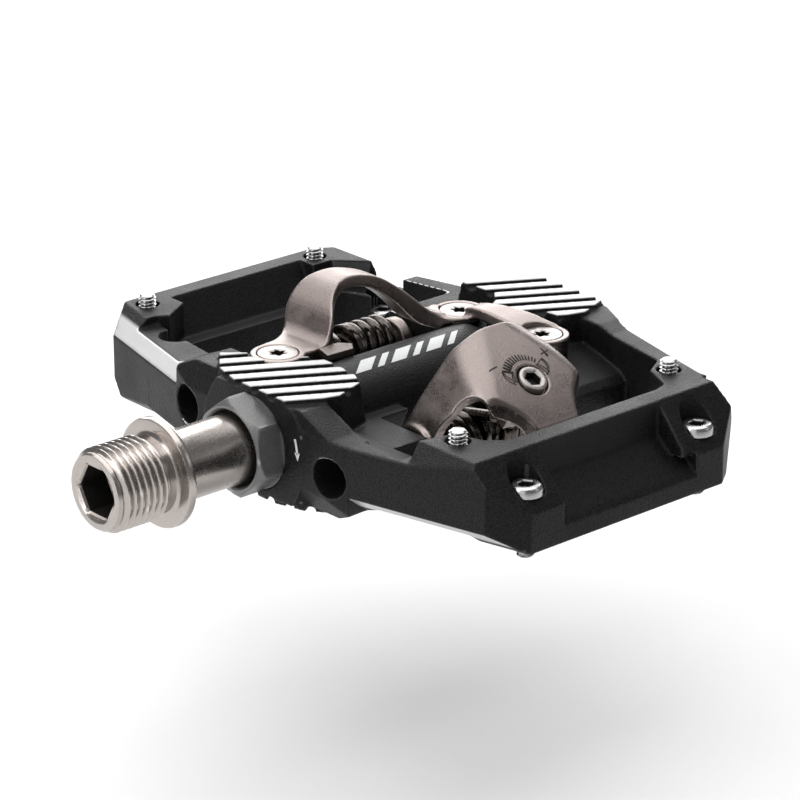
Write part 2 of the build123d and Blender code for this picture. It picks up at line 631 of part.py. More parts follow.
# ---- traction pins ----
def traction_pins(places, head_z, tip_z):
    """Socket-headed pins whose threaded ends stand proud of the cage."""
    up = 1 if tip_z > head_z else -1
    pins = []
    for x, y in places:
        low, high = sorted((head_z, tip_z))
        shank = rod_z(PIN_R, low, high, x, y)
        low, high = sorted((head_z, head_z + up * PIN_HEAD_H))
        head = rod_z(PIN_HEAD_R, low, high, x, y)
        low, high = sorted((head_z - up, head_z + up * 1.2))
        key = extrude(Pos(x, y, low) * RegularPolygon(PIN_KEY_FLATS / 2, 6, major_radius=False),
                      amount=high - low)
        pins.append(shank + head - key)
    return group(pins)


# ---- the parts ----
def all_parts():
    rear_top = traction_pins(REAR_INNER_PINS, INNER_HEAD_Z, RAIL_Z + PIN_PROUD)
    rear_bottom = traction_pins(REAR_OUTER_PINS, OUTER_HEAD_Z, CAGE_BOTTOM_Z - PIN_PROUD)
    return {
        "spindle": spindle(),
        "outer_cone": outer_cone(),
        "cone_washer": cone_washer(),
        "cone_lock_nut": cone_lock_nut(),
        "pedal_body": pedal_body(),
        "lock_bolt": lock_bolt(),
        "axle_seal": axle_seal(),
        "inner_bearing_cup": bearing_cup(INNER_BALL_X),
        "inner_ball_set": ball_set(INNER_BALL_X),
        "axle_sleeve": axle_sleeve(),
        "outer_bearing_cup": bearing_cup(OUTER_BALL_X),
        "outer_ball_set": ball_set(OUTER_BALL_X),
        "top_claw": claw(),
        "top_claw_screws": claw_screws(),
        "top_spring_shoe": spring_shoe(),
        "top_binding": binding(),
        "top_tension_screw": tension_screw(),
        "top_tension_nut": tension_nut(),
        "top_binding_pin": binding_pin(),
        "top_spring_inboard": spring(-1),
        "top_spring_outboard": spring(1),
        "bottom_claw": turned_over(claw()),
        "bottom_claw_screws": turned_over(claw_screws()),
        "bottom_spring_shoe": turned_over(spring_shoe()),
        "bottom_binding": turned_over(binding()),
        "bottom_tension_screw": turned_over(tension_screw()),
        "bottom_tension_nut": turned_over(tension_nut()),
        "bottom_binding_pin": turned_over(binding_pin()),
        "bottom_spring_inboard": turned_over(spring(-1)),
        "bottom_spring_outboard": turned_over(spring(1)),
        "rear_top_pins": rear_top,
        "rear_bottom_pins": rear_bottom,
        "front_bottom_pins": turned_over(rear_top),
        "front_top_pins": turned_over(rear_bottom),
    }


os.makedirs("parts", exist_ok=True)
for name, shape in all_parts().items():
    shape.label = name
    export_step(shape, f"parts/{name}.step")
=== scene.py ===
import json
import math

import bmesh
import bpy
import numpy as np
import openvdb
from mathutils import Matrix, Vector


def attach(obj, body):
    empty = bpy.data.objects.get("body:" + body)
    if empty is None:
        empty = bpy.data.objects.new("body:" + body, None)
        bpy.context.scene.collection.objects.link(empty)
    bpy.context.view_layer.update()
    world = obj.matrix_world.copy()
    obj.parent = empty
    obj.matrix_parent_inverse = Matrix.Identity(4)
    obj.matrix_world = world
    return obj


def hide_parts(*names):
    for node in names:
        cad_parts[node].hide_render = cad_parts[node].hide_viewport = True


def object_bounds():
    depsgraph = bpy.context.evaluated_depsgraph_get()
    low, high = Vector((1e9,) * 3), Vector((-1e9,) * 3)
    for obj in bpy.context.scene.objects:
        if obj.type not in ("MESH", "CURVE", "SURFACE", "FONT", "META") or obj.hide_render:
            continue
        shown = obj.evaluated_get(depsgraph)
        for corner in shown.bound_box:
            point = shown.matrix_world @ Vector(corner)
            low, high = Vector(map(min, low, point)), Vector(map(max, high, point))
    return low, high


# The looks of a two-sided clipless pedal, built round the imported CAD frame.
# The frame: origin on the axle at the flange's crank face, +X away from the crank,
# +Y towards the toe, +Z up. Shapes are worked out in millimetres and stored in metres.
# The pedal body repeats when it is turned half a turn about X, so each piece of the top
# side is made once and turned over for the bottom side.

MM = 0.001
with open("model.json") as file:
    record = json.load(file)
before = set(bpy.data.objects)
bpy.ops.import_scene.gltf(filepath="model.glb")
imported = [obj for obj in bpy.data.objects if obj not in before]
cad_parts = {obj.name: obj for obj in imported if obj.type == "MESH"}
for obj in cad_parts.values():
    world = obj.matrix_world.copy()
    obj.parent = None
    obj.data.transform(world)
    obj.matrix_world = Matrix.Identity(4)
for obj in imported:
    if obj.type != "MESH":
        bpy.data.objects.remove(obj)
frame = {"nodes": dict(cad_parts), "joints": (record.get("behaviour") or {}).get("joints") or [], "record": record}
nodes = frame["nodes"]
cad_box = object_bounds()
joints = {joint["name"]: joint for joint in frame["joints"]}

# ---- sizes (mm, and degrees) ----
THREAD_R = 7.144
THREAD_PITCH = 1.27
THREAD_DEPTH = 0.72
THREAD_START_X = -11.9
THREAD_RELIEF_X = -1.9
THREAD_RELIEF_R = 6.35
SEAT_R = 7.3
FLANGE_R = 9.2
FLANGE_T = 1.6
SHAFT_R = 5.95
HEX_FLATS = 8.0
HEX_DEPTH = 9.0
BOLT_FLATS = 14.9
BOLT_HEAD_X = 15.5
BOLT_SEAT_X = 20.4
BOLT_END_X = 28.0
BOLT_BORE_R = 6.5
BOLT_THREAD_R = 8.0
BOLT_PHASE = -8.75
SOCKET_PHASE = 30.0
TUBE_R = 8.5
PAD_Z = 9.5
BODY_VOXEL = 0.25
# The forging turns from black to bare metal over the first pair of heights; the satin
# facets fade in from the hub over the second pair and out towards the tops over the third.
BARE_Z = (PAD_Z - 0.20, PAD_Z - 0.12)
FACET_NORMAL = (-0.593, -0.144, -0.793)
FACET_START_Y = (15.0, 15.8)
FACET_TOP_Z = (5.5, 5.9)
FIELD_STEP = 0.2
LATHE_SEGMENTS = 120

BINDING_X = 54.0
BINDING_T = 2.4
PIVOT_Y, PIVOT_Z = -18.2, -1.0
PIVOT_BORE_R = 2.08
EYE_X, EYE_R, EYE_HALF_T = 13.3, 4.0, 1.2
ARCH_CROWN = (14.1, -30.5, 9.0)
ARCH_CROWN_AXIS = (0.61, -0.43, 0.666)
ARCH_CROWN_R = 3.4
PLATE_SLOPE = 32.0
BEND_SLOPE = 47.0
BEND_POINT = (0, -32.4, 10.7)
JAW_FRONT_Y = -37.3
JAW_HALF_WIDTH = 14.5
SCREW_Y, SCREW_Z = -31.0, 11.6
SCREW_SEAT_R, SCREW_SEAT_DEPTH = 2.83, 1.8
SCREW_HOLE_R, SCREW_HOLE_DEPTH = 1.58, 6
TENSION_HEX_FLATS = 2.6
TENSION_HEX_TURN = 12
CLAW_SEAT_Z = 6.6
CLAW_T = 2.4
CLAW_SCREW_HEAD_R = 3.5
CLAW_SCREW_R = 2.0
CLAW_SCREW_HEAD_H = 1.5
CLAW_SCREW_TURN = 17
CLAW_EAR_R = 4.7
SHADE_CUP_T = 0.03
SPRING_R = 3.85
SPRING_WIRE_R = 0.98
SPRING_TURNS = 3.6
SPRING_PITCH = 2.02
SPRING_FIRST_X = 10.8 - SPRING_WIRE_R
SPRING_DROP = 0.6
SPRING_LEG_END = (-6.4, 5.2)
PIN_R = 1.55
PIN_PITCH = 0.62
PIN_HEAD_R = 2.75
PIN_HEAD_H = 2.0
PIN_HEX_FLATS = 2.5
PIN_HEX_TURN = 25
PIN_SEGMENTS = 48
STRIPE_SLANT = 3.6


# ---- mesh helpers ----
def turn_over(points):
    """The same points on the pedal's other side."""
    return np.asarray(points, float) * (1, -1, -1)


def make_piece(name, shape, body, finish, replaced=(), over=False, sharp=35):
    """A mesh object from (points in mm, faces), riding on a body."""
    points, faces = shape
    points = np.asarray(points, float) * MM
    if over:
        points = turn_over(points)
    mesh = bpy.data.meshes.new(name)
    mesh.from_pydata(points.tolist(), [], [list(map(int, face)) for face in faces])
    work = bmesh.new()
    work.from_mesh(mesh)
    bmesh.ops.remove_doubles(work, verts=work.verts, dist=2e-6)
    bmesh.ops.recalc_face_normals(work, faces=work.faces)
    work.to_mesh(mesh)
    work.free()
    mesh.shade_smooth()
    mesh.set_sharp_from_angle(angle=math.radians(sharp))
    mesh.materials.append(finish)
    piece = bpy.data.objects.new(name, mesh)
    bpy.context.scene.collection.objects.link(piece)
    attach(piece, body)
    if replaced:
        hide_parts(*replaced)
    return piece


def joined(shapes):
    """Several (points, faces) shapes as one."""
    points, faces, start = [], [], 0
    for part_points, part_faces in shapes:
        points.extend(np.asarray(part_points, float).tolist())
        faces.extend([[start + i for i in face] for face in part_faces])
        start += len(part_points)
    return np.array(points), faces


def placed(shape, origin, direction, spin=0.0):
    """A shape made along +Z, moved to an origin with its axis along a direction."""
    points, faces = shape
    turn = Vector(direction).to_track_quat("Z", "Y").to_matrix()
    turn = np.array(turn @ Matrix.Rotation(math.radians(spin), 3, "Z"))
    return np.asarray(points) @ turn.T + np.array(origin, float), faces


def turned(stations, segments=72):
    """A lathe shape along +Z from (height, radius) stations; a radius may depend on the angle."""
    angles = np.arange(segments) * 2 * np.pi / segments
    points = []
    for height, radius in stations:
        r = radius(angles) if callable(radius) else np.full(segments, float(radius))
        ring = [r * np.cos(angles), r * np.sin(angles), np.full(segments, height)]
        points.append(np.column_stack(ring))
    faces = []
    for ring in range(len(stations) - 1):
        for i in range(segments):
            j = (i + 1) % segments
            low, high = ring * segments, (ring + 1) * segments
            faces.append((low + i, low + j, high + j, high + i))
    return np.concatenate(points), faces


def hexagon(flats, limit=1e9):
    """The radius of a hexagon round the turn, cut off at a largest radius."""
    def radius(angles):
        off = (angles + np.pi / 6) % (np.pi / 3) - np.pi / 6
        return np.minimum(flats / 2 / np.cos(off), limit)
    return radius


def star(inner, outer):
    """The radius of a six-lobed socket round the turn."""
    def radius(angles):
        return (inner + outer) / 2 + (outer - inner) / 2 * np.cos(6 * angles)
    return radius


def threaded(low, high, radius, pitch, depth, start_fade, end_fade, steps=10):
    """Stations for a helical V thread whose depth grows and fades at its ends."""
    def at(height):
        def ring(angles):
            phase = (height / pitch - angles / (2 * np.pi)) % 1
            groove = np.clip((np.abs(phase - 0.5) * 2 - 0.12) / 0.76, 0, 1)
            fade = min(1, (height - low) / start_fade, (high - height) / end_fade)
            return radius - depth * (1 - (1 - groove) * max(0, fade))
        return ring
    count = int((high - low) / pitch * steps)
    return [(h, at(h)) for h in np.linspace(low, high, count + 1)]


def tube(path, radius, segments=16):
    """A round wire along a path, with closed ends."""
    path = np.asarray(path, float)
    along = np.gradient(path, axis=0)
    along /= np.linalg.norm(along, axis=1)[:, None]
    side = np.cross(along[0], (0.31, 0.21, 0.93))
    points, faces = [], []
    for i, (centre, direction) in enumerate(zip(path, along)):
        side = side - direction * (side @ direction)
        side /= np.linalg.norm(side)
        up = np.cross(direction, side)
        ends = [0.6, 0.88] if i == 0 else []
        for share in ends + [1.0] + ([0.88, 0.6] if i == len(path) - 1 else []):
            shift = (1 - share) * radius * (1 if i else -1) * direction * 0.8
            for k in range(segments):
                a = 2 * np.pi * k / segments
                points.append(centre + shift + share * radius * (math.cos(a) * side + math.sin(a) * up))
    rings = len(points) // segments
    for ring in range(rings - 1):
        for k in range(segments):
            a, b = ring * segments, (ring + 1) * segments
            faces.append((a + k, a + (k + 1) % segments, b + (k + 1) % segments, b + k))
    faces.append(tuple(range(segments))[::-1])
    faces.append(tuple(range((rings - 1) * segments, rings * segments)))
    return np.array(points), faces


def closed_sheet(outer, inner, faces):
    """Two matching layers of faces, joined round their rim."""
    edges = {(a, b) for face in faces for a, b in zip(face, face[1:] + face[:1])}
    count = len(outer)
    rim = [(b, a, a + count, b + count) for a, b in edges if (b, a) not in edges]
    back = [tuple(i + count for i in reversed(face)) for face in faces]
    return np.concatenate([outer, inner]), [*faces, *back, *sorted(rim)]


def islands(node):
    """The (lowest, highest) corners in mm of each separate solid of a CAD node."""
    work = bmesh.new()
    work.from_mesh(nodes[node].data)
    bmesh.ops.remove_doubles(work, verts=work.verts, dist=1e-6)
    left, boxes = set(work.verts), []
    while left:
        stack, group = [left.pop()], []
        while stack:
            vert = stack.pop()
            group.append(vert.co / MM)
            for edge in vert.link_edges:
                other = edge.other_vert(vert)
                if other in left:
                    left.remove(other)
                    stack.append(other)
        corners = np.array(group)
        boxes.append((corners.min(0), corners.max(0)))
    work.free()
    return sorted(boxes, key=lambda box: (round(box[0][0], 2), round(box[0][1], 2)))


def softened(name, node, body, finish, voxel, passes):
    """A copy of a CAD node with its edges rounded by a fine remesh and smoothing."""
    piece = bpy.data.objects.new(name, nodes[node].data.copy())
    bpy.context.scene.collection.objects.link(piece)
    remesh = piece.modifiers.new("fine", "REMESH")
    remesh.mode = "VOXEL"
    remesh.voxel_size = voxel * MM
    smooth = piece.modifiers.new("round", "SMOOTH")
    smooth.factor = 0.5
    smooth.iterations = passes
    graph = bpy.context.evaluated_depsgraph_get()
    mesh = bpy.data.meshes.new_from_object(piece.evaluated_get(graph))
    piece.modifiers.clear()
    piece.data = mesh
    mesh.name = name
    mesh.shade_smooth()
    mesh.materials.clear()
    mesh.materials.append(finish)
    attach(piece, body)
    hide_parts(node)
    return piece


# ---- distance fields, for bent plates with soft edges ----
def smooth_max(a, b, r):
    """The larger of two fields, blended where they are within r."""
    near = np.clip(r - np.abs(a - b), 0, None)
    return np.maximum(a, b) + near * near / (4 * r)


def smooth_min(a, b, r):
    return -smooth_max(-a, -b, r)


def rounded(points, passes=2):
    """A closed outline with its corners cut again and again."""
    points = np.asarray(points, float)
    for _ in range(passes):
        after = np.roll(points, -1, axis=0)
        points = np.stack([points * 0.8 + after * 0.2, points * 0.2 + after * 0.8], 1).reshape(-1, 2)
    return points


def outline_field(u, v, points):
    """The signed distance to a closed outline in a plane; negative inside."""
    points = np.asarray(points, float)
    shape = np.broadcast(u, v).shape
    nearest, inside = np.full(shape, 1e9), np.zeros(shape, bool)
    for (ax, ay), (bx, by) in zip(points, np.roll(points, -1, axis=0)):
        ex, ey = bx - ax, by - ay
        t = np.clip(((u - ax) * ex + (v - ay) * ey) / (ex * ex + ey * ey + 1e-12), 0, 1)
        nearest = np.minimum(nearest, np.hypot(u - ax - t * ex, v - ay - t * ey))
        crosses = (ay > v) != (by > v)
        at = ax + (v - ay) * ex / (ey if abs(ey) > 1e-12 else 1e-12)
        inside ^= crosses & (u < at)
    return np.where(inside, -nearest, nearest)


def rod_field(u, v, centre, radius):
    return np.hypot(u - centre[0], v - centre[1]) - radius


def field_shape(value, low, step):
    """The surface where a sampled field is zero, as (points, faces)."""
    volume = openvdb.FloatGrid(1.0)
    volume.copyFromArray(np.clip(value, -1, 1).astype(np.float32))
    points, triangles, quads = volume.convertToPolygons(isovalue=0.0)
    return points * step + np.array(low), [*quads.tolist(), *triangles.tolist()]


def sample_grid(low, high, step):
    axes = [np.arange(a, b + step, step) for a, b in zip(low, high)]
    return np.meshgrid(*axes, indexing="ij", sparse=True)


# ---- materials ----
def new_finish(name, base, metallic, roughness, grain_mm, grain, blotch_mm=6.0, blotch=0.12,
               bump_mm=0.004, rough_vary=0.08, edge_wear_and_highlight=None, bright_edge_from=0.53, bright_edge_to=0.62):
    """A surface with fine grain, broad mottling, varying gloss, bump and brighter edges, which are partly wear and
    partly a painted highlight where edges catch the light.
    """
    made = bpy.data.materials.new(name)
    made.use_nodes = True
    tree = made.node_tree
    shader = tree.nodes["Principled BSDF"]
    shader.inputs["Metallic"].default_value = metallic
    coord = tree.nodes.new("ShaderNodeTexCoord").outputs["Object"]
    fine = ramp(tree, noise(tree, coord, grain_mm, 3), 0.36, 0.64)
    broad = noise(tree, coord, blotch_mm, 4)
    dark = tuple(c * (1 - grain) for c in base)
    light = tuple(min(1, c * (1 + grain)) for c in base)
    colour = mix(tree, fine, dark, light)
    shade = tuple([1 - blotch] * 3)
    colour = mix(tree, broad, multiply(tree, colour, shade), colour)
    # Convex edges are painted lighter in patches: partly wear, partly a painted highlight for light caught on the
    # edges.
    if edge_wear_and_highlight:
        geometry = tree.nodes.new("ShaderNodeNewGeometry")
        edge = ramp(tree, geometry.outputs["Pointiness"], bright_edge_from, bright_edge_to)
        worn_and_lit_edges = math_node(tree, "MULTIPLY", edge, ramp(tree, broad, 0.3, 0.7, 0.35, 1.0))
        colour = mix(tree, worn_and_lit_edges, colour, edge_wear_and_highlight)
    gloss = ramp(tree, broad, 0.3, 0.7, roughness - rough_vary, roughness + rough_vary)
    gloss = math_node(tree, "ADD", gloss, ramp(tree, fine, 0.3, 0.7, -rough_vary / 2, rough_vary / 2))
    bump = tree.nodes.new("ShaderNodeBump")
    bump.inputs["Distance"].default_value = bump_mm * MM
    tree.links.new(fine, bump.inputs["Height"])
    tree.links.new(bump.outputs["Normal"], shader.inputs["Normal"])
    tree.links.new(colour, shader.inputs["Base Color"])
    tree.links.new(gloss, shader.inputs["Roughness"])
    return made


def noise(tree, coord, size_mm, detail):
    node = tree.nodes.new("ShaderNodeTexNoise")
    node.inputs["Scale"].default_value = 1 / (size_mm * MM)
    node.inputs["Detail"].default_value = detail
    tree.links.new(coord, node.inputs["Vector"])
    return node.outputs["Fac"]


def plug(tree, socket, value):
    """Connects a node output, or sets a plain number or colour."""
    if isinstance(value, bpy.types.NodeSocket):
        tree.links.new(value, socket)
    elif isinstance(value, tuple):
        socket.default_value = (*value, 1)
    else:
        socket.default_value = value


def mix(tree, share, a, b, blend="MIX"):
    node = tree.nodes.new("ShaderNodeMix")
    node.data_type = "RGBA"
    node.blend_type = blend
    plug(tree, node.inputs[0], share)
    plug(tree, node.inputs[6], a)
    plug(tree, node.inputs[7], b)
    return node.outputs[2]


def multiply(tree, a, b):
    return mix(tree, 1.0, a, b, "MULTIPLY")


def math_node(tree, operation, a, b=0.0):
    node = tree.nodes.new("ShaderNodeMath")
    node.operation = operation
    plug(tree, node.inputs[0], a)
    plug(tree, node.inputs[1], b)
    return node.outputs[0]


def ramp(tree, value, low, high, to_low=0.0, to_high=1.0):
    """A number carried from one range to another, held at both ends."""
    node = tree.nodes.new("ShaderNodeMapRange")
    plug(tree, node.inputs["Value"], value)
    ends = {"From Min": low, "From Max": high, "To Min": to_low, "To Max": to_high}
    for socket, number in ends.items():
        node.inputs[socket].default_value = number
    return node.outputs["Result"]


def direction_mask(tree, normal, target, low, high):
    """One where the surface faces a direction."""
    node = tree.nodes.new("ShaderNodeVectorMath")
    node.operation = "DOT_PRODUCT"
    tree.links.new(normal, node.inputs[0])
    node.inputs[1].default_value = target
    return ramp(tree, node.outputs["Value"], low, high)


def brushed_pattern(tree, coord):
    """Fine parallel brush marks, turned to run along the pads' ridges."""
    stretch = tree.nodes.new("ShaderNodeMapping")
    stretch.inputs["Rotation"].default_value = (0, 0, math.radians(30))
    stretch.inputs["Scale"].default_value = (0.12, 1, 1)
    marks = tree.nodes.new("ShaderNodeTexNoise")
    marks.inputs["Scale"].default_value = 2200
    tree.links.new(coord, stretch.inputs["Vector"])
    tree.links.new(stretch.outputs["Vector"], marks.inputs["Vector"])
    return marks.outputs["Fac"]


def facet_mask(tree, coord, along_y, height):
    """One on the satin strips of the two crank-side arms, of which one faces down and one up."""
    low_part = ramp(tree, height, FACET_TOP_Z[0] * MM, FACET_TOP_Z[1] * MM, 1.0, 0.0)
    mask = None
    for turn in (1, -1):
        normal = (FACET_NORMAL[0], FACET_NORMAL[1] * turn, FACET_NORMAL[2] * turn)
        facing = direction_mask(tree, coord.outputs["Normal"], normal, 0.93, 0.965)
        side = math_node(tree, "MULTIPLY", along_y, -turn)
        past_hub = ramp(tree, side, FACET_START_Y[0] * MM, FACET_START_Y[1] * MM)
        strip = math_node(tree, "MULTIPLY", math_node(tree, "MULTIPLY", facing, past_hub), low_part)
        mask = strip if mask is None else math_node(tree, "MAXIMUM", mask, strip)
    return mask


def body_finish():
    """Black anodised forging, with bare machined ridge tops and satin facets along two arms."""
    # The lighter edge colour on the black forging is partly wear and partly a painted highlight.
    made = new_finish("black_anodised", (0.0085, 0.0085, 0.0087), 0.0, 0.40, grain_mm=0.30, grain=0.8,
                      blotch_mm=9.0, blotch=0.25, bump_mm=0.045, rough_vary=0.07,
                      edge_wear_and_highlight=(0.10, 0.10, 0.102), bright_edge_from=0.515, bright_edge_to=0.60)
    tree = made.node_tree
    shader = tree.nodes["Principled BSDF"]
    shader.inputs["Specular IOR Level"].default_value = 0.16
    coord = tree.nodes.new("ShaderNodeTexCoord")
    parts = tree.nodes.new("ShaderNodeSeparateXYZ")
    tree.links.new(coord.outputs["Object"], parts.inputs[0])
    height = math_node(tree, "ABSOLUTE", parts.outputs["Z"])
    tops = ramp(tree, height, BARE_Z[0] * MM, BARE_Z[1] * MM)
    facets = facet_mask(tree, coord, parts.outputs["Y"], height)
    bare = math_node(tree, "MAXIMUM", tops, facets)
    bump = next(node for node in tree.nodes if node.type == "BUMP")
    tree.links.new(ramp(tree, bare, 0.0, 1.0, 1.0, 0.06), bump.inputs["Strength"])

    marks = brushed_pattern(tree, coord.outputs["Object"])
    metal = mix(tree, marks, (0.36, 0.36, 0.362), (0.47, 0.47, 0.472))
    metal = mix(tree, facets, metal, (0.72, 0.72, 0.725))
    anodised = shader.inputs["Base Color"].links[0].from_socket
    tree.links.new(mix(tree, bare, anodised, metal), shader.inputs["Base Color"])
    rough = shader.inputs["Roughness"].links[0].from_socket
    kept = math_node(tree, "MULTIPLY", rough, math_node(tree, "SUBTRACT", 1.0, bare))
    added = math_node(tree, "MULTIPLY", ramp(tree, marks, 0.3, 0.7, 0.44, 0.56), bare)
    tree.links.new(math_node(tree, "ADD", kept, added), shader.inputs["Roughness"])
    tree.links.new(bare, shader.inputs["Metallic"])
    return made


# The edge colours of the spindle, lock bolt, jaw and shoe finishes are partly wear and partly painted highlight.
FINISH = {
    "body": body_finish(),
    "spindle_steel": new_finish(
        "spindle_steel", (0.46, 0.42, 0.395), 1.0, 0.25, grain_mm=0.35, grain=0.05, blotch_mm=5.0,
        blotch=0.06, bump_mm=0.0012, rough_vary=0.03, edge_wear_and_highlight=(0.80, 0.76, 0.73)),
    "bearing_steel": new_finish(
        "bearing_steel", (0.62, 0.62, 0.62), 1.0, 0.18, grain_mm=0.3, grain=0.05, blotch_mm=4.0,
        blotch=0.1, bump_mm=0.002, rough_vary=0.04),
    "lock_bolt": new_finish(
        "grey_anodised", (0.17, 0.17, 0.168), 0.55, 0.40, grain_mm=0.18, grain=0.22, blotch_mm=5.0,
        blotch=0.12, bump_mm=0.006, rough_vary=0.05, edge_wear_and_highlight=(0.42, 0.43, 0.44)),
    "sleeve": new_finish("plain_aluminium", (0.5, 0.5, 0.51), 1.0, 0.35, grain_mm=0.3, grain=0.08),
    "seal": new_finish(
        "black_rubber", (0.018, 0.018, 0.018), 0.0, 0.6, grain_mm=0.2, grain=0.3, blotch_mm=3.0,
        blotch=0.2, bump_mm=0.01),
    "jaw_steel": new_finish(
        "jaw_steel", (0.285, 0.243, 0.229), 1.0, 0.34, grain_mm=0.30, grain=0.10, blotch_mm=3.5,
        blotch=0.22, bump_mm=0.010, rough_vary=0.07, edge_wear_and_highlight=(0.62, 0.56, 0.53), bright_edge_from=0.525,
        bright_edge_to=0.60),
    "screws": new_finish(
        "nickel_steel", (0.43, 0.40, 0.385), 1.0, 0.42, grain_mm=0.25, grain=0.07, blotch_mm=2.5,
        blotch=0.12, bump_mm=0.003, rough_vary=0.05),
    "spring_shoe": new_finish(
        "shoe_steel", (0.24, 0.205, 0.19), 1.0, 0.36, grain_mm=0.3, grain=0.14, blotch_mm=2.0,
        blotch=0.2, bump_mm=0.006, rough_vary=0.06, edge_wear_and_highlight=(0.6, 0.55, 0.52)),
    "springs": new_finish(
        "spring_steel", (0.115, 0.10, 0.092), 1.0, 0.22, grain_mm=0.5, grain=0.3, blotch_mm=2.0,
        blotch=0.35, bump_mm=0.006, rough_vary=0.09),
    "pins": new_finish(
        "bright_plating", (0.52, 0.52, 0.525), 1.0, 0.27, grain_mm=0.2, grain=0.05, blotch_mm=1.5,
        blotch=0.12, bump_mm=0.002, rough_vary=0.05),
}
# A dark, dull finish for cups set inside sockets: painted shade for their dim insides.
SOCKET_SHADE = new_finish("painted_socket_shade", (0.028, 0.025, 0.023), 0.6, 0.5, grain_mm=0.2, grain=0.3,
                         blotch_mm=2.0, blotch=0.2, bump_mm=0.004)
PRINT_WHITE = new_finish("white_print", (0.62, 0.63, 0.63), 0.0, 0.5, grain_mm=0.12, grain=0.12,
                         blotch_mm=3.0, blotch=0.1, bump_mm=0.003)
ENGRAVED = new_finish("engraved_dark", (0.035, 0.03, 0.028), 0.3, 0.6, grain_mm=0.12, grain=0.3,
                      blotch_mm=2.0, blotch=0.2, bump_mm=0.002)


# ---- spindle and lock bolt ----
def spindle_shape():
    """The spindle: hex socket, rolled thread, flange and shaft."""
    x0 = THREAD_START_X
    stations = [
        (x0 + HEX_DEPTH + 1.2, 0), (x0 + HEX_DEPTH, 3.4), (x0 + HEX_DEPTH, hexagon(HEX_FLATS)),
        (x0 + 0.75, hexagon(HEX_FLATS)), (x0 + 0.35, hexagon(HEX_FLATS + 0.45, 4.85)),
        (x0 + 0.08, 5.05), (x0, 5.25), (x0, 6.0), (x0 + 0.06, 6.2), (x0 + 0.3, 6.38), (x0 + 0.4, 6.42),
    ]
    stations += threaded(x0 + 0.4, THREAD_RELIEF_X + 0.2, THREAD_R, THREAD_PITCH, THREAD_DEPTH, 0.9, 1.0)
    stations += [
        (THREAD_RELIEF_X + 0.25, THREAD_RELIEF_R), (-0.95, THREAD_RELIEF_R), (-0.4, 6.5), (-0.1, 6.9),
        (0, SEAT_R), (0, FLANGE_R - 0.4), (0.1, FLANGE_R - 0.12), (0.35, FLANGE_R),
        (FLANGE_T - 0.35, FLANGE_R), (FLANGE_T - 0.1, FLANGE_R - 0.12), (FLANGE_T, FLANGE_R - 0.4),
        (FLANGE_T, SHAFT_R + 1.3), (FLANGE_T + 0.12, SHAFT_R + 0.7), (FLANGE_T + 0.45, SHAFT_R + 0.25),
        (FLANGE_T + 1.1, SHAFT_R), (26.5, SHAFT_R), (29.0, 3.92), (34.0, 3.92), (36.0, 4.3),
        (53.5, 4.3), (55.5, 3.0), (64.5, 3.0), (65.0, 2.5), (65.0, 0),
    ]
    return placed(turned(stations, LATHE_SEGMENTS), (0, 0, 0), (1, 0, 0), SOCKET_PHASE)


def shade_cup(radius, top, bottom, segments=72):
    """A thin dark cup inside a screw socket, from its mouth down to its floor: painted shade for the socket's
    inside.
    """
    def inner(angles):
        return radius(angles) - SHADE_CUP_T
    inner_floor = bottom + math.copysign(SHADE_CUP_T, top - bottom)
    stations = [(bottom, 0), (bottom, radius), (top, radius), (top, inner), (inner_floor, inner),
                (inner_floor, 0)]
    return turned(stations, segments)


def bolt_shape():
    """The hexagonal lock bolt with its crowned corners."""
    corner = BOLT_FLATS / 2 / math.cos(math.pi / 6)
    head = BOLT_HEAD_X
    stations = [(BOLT_END_X, BOLT_BORE_R), (head + 0.9, BOLT_BORE_R), (head + 0.35, BOLT_BORE_R + 0.12),
                (head, BOLT_BORE_R + 0.45), (head, corner - 1.35)]
    for share in np.linspace(0, 1, 6):
        limit = corner - 1.3 + 1.35 * share ** 0.8
        stations.append((head + 0.05 + share, hexagon(BOLT_FLATS, limit)))
    for share in np.linspace(0, 1, 4):
        limit = corner + 0.05 - 0.5 * share
        stations.append((BOLT_SEAT_X - 0.5 + 0.5 * share, hexagon(BOLT_FLATS, limit)))
    stations += [(BOLT_SEAT_X, BOLT_THREAD_R), (BOLT_END_X, BOLT_THREAD_R), (BOLT_END_X, BOLT_BORE_R)]
    return placed(turned(stations, LATHE_SEGMENTS), (0, 0, 0), (1, 0, 0), BOLT_PHASE)


make_piece("spindle_forging", spindle_shape(), "spindle_unit", FINISH["spindle_steel"],
           ["spindle"], sharp=28)
# A dark cup inside the spindle's hex socket: painted shade.
shade_lining = shade_cup(hexagon(HEX_FLATS - 0.04), THREAD_START_X + 1.0, THREAD_START_X + HEX_DEPTH - 0.02,
                    LATHE_SEGMENTS)
make_piece("spindle_socket_shade", placed(shade_lining, (0, 0, 0), (1, 0, 0), SOCKET_PHASE), "spindle_unit",
           SOCKET_SHADE, sharp=28)
make_piece("lock_bolt_hexagon", bolt_shape(), "pedal_unit", FINISH["lock_bolt"],
           ["lock_bolt"], sharp=28)
softened("body_forging", "pedal_body", "pedal_unit", FINISH["body"], BODY_VOXEL, 5)


# ---- binding ----
JAW_BOX = ((-15.5, -38.5, -6.0), (15.5, -13.0, 19.0))
# A wing's flat faces meet at these (x, y, z) corners: plate front, arch tip, heel and toe.
WING_CORNERS = [(6.5, -22.5, 17.0), (11.1, -30.3, 12.0), (14.0, -22.6, 3.5), (14.5, -16.6, 5.5)]
